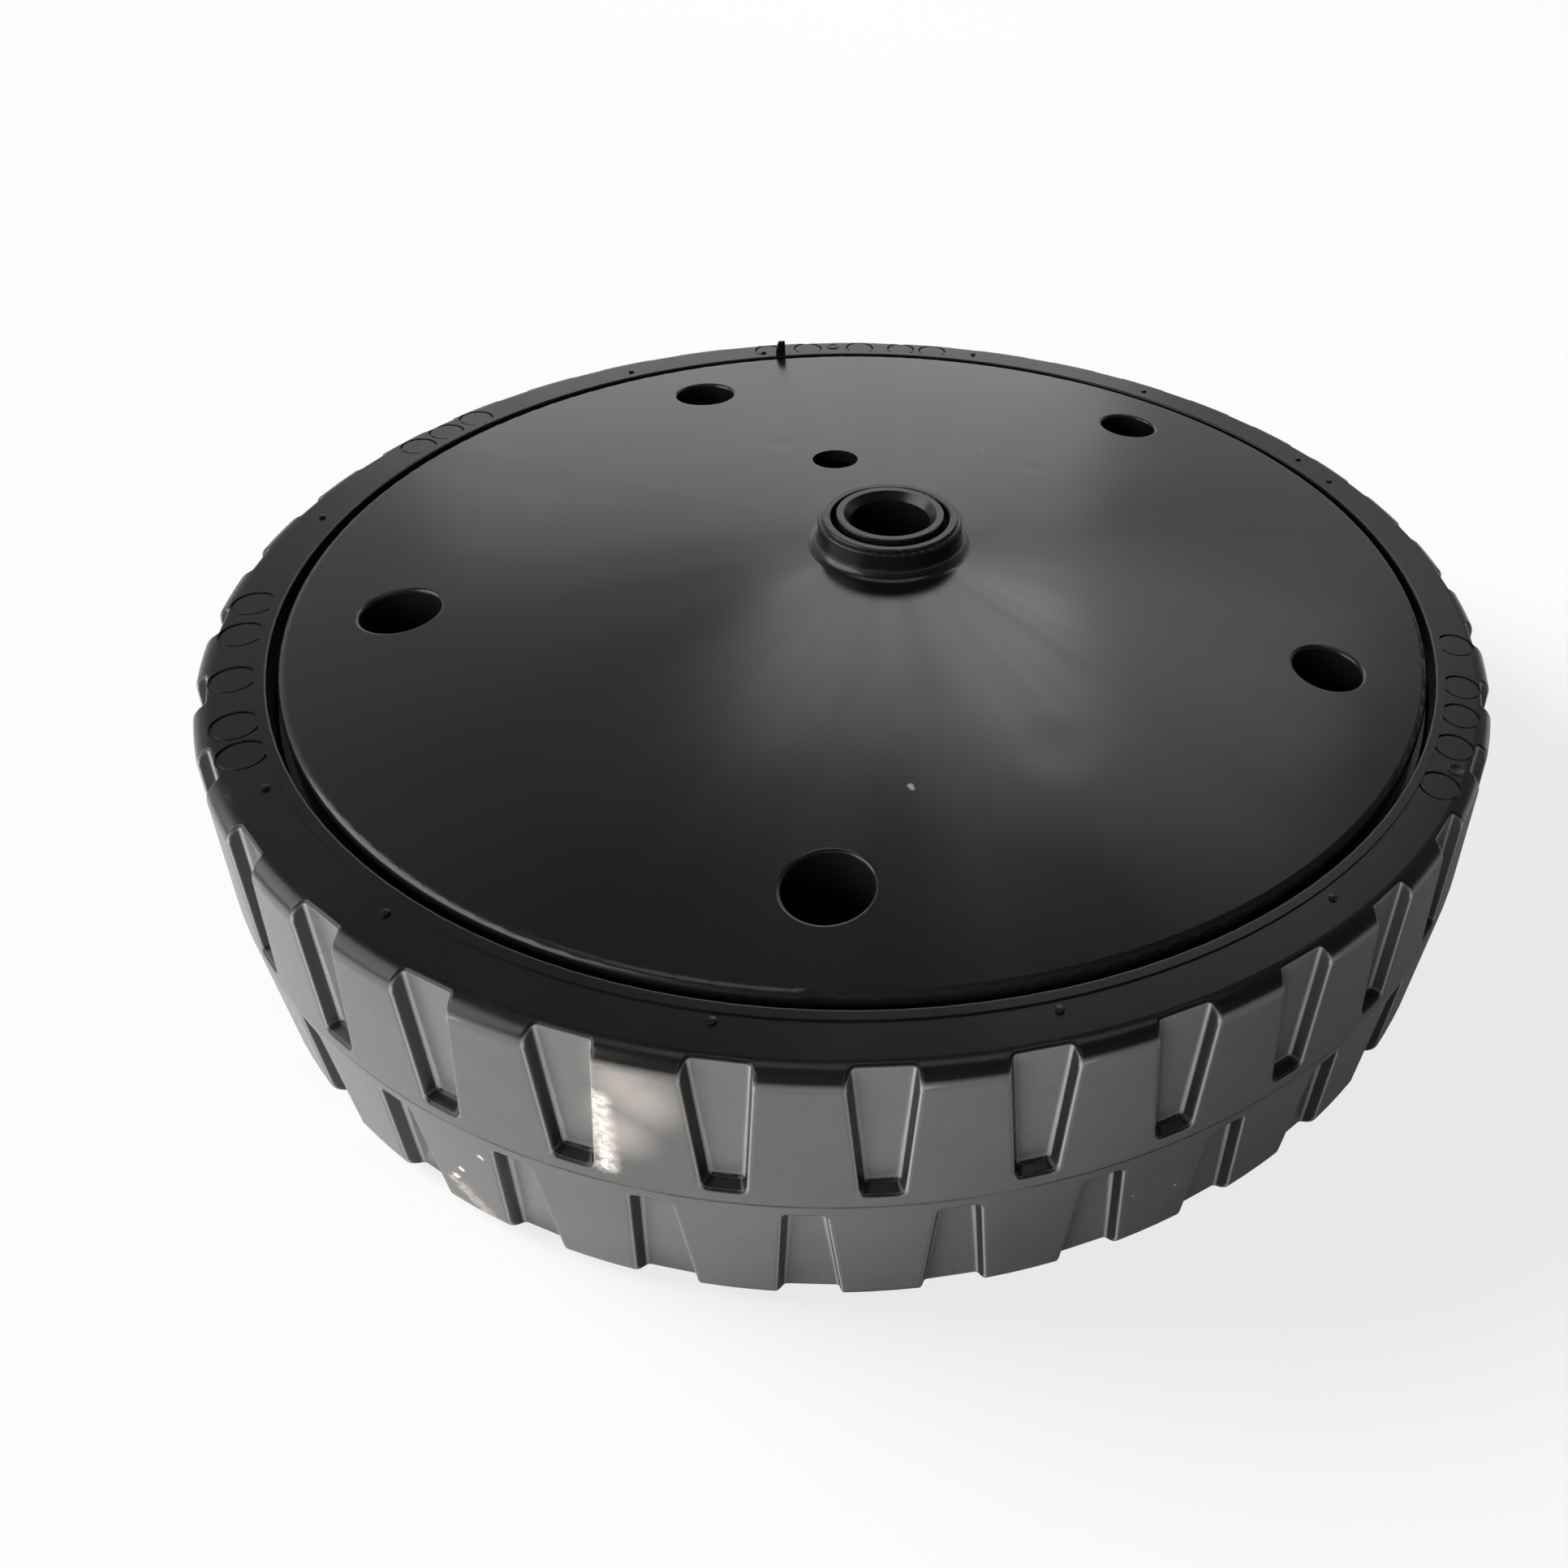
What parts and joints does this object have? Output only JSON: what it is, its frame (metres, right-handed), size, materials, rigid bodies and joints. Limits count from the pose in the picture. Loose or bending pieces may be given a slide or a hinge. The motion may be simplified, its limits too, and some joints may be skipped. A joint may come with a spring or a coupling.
{
  "type": "space heater wheel",
  "caption": "Wheel with a slotted solid rubber tyre on a hollow blow-moulded plastic hub and a plain sleeve bore, for rolling a portable space heater on a fixed axle.",
  "frame": {"origin": "on the axle line, at the middle of the tread's width", "axes": "+Z along the axle towards the raised collar and the dimpled disc, -Y towards the middle of one dimple"},
  "size_m": [0.254, 0.254, 0.0685],
  "materials": {
    "tyre_rubber": "moulded matte, scuffed",
    "hub_plastic": "blow-moulded satin",
    "sleeve_plastic": "moulded satin"
  },
  "bodies": {
    "root": {"tyre": "tyre_rubber", "hub": "hub_plastic", "axle_sleeve": "sleeve_plastic"}
  },
  "joints": []
}
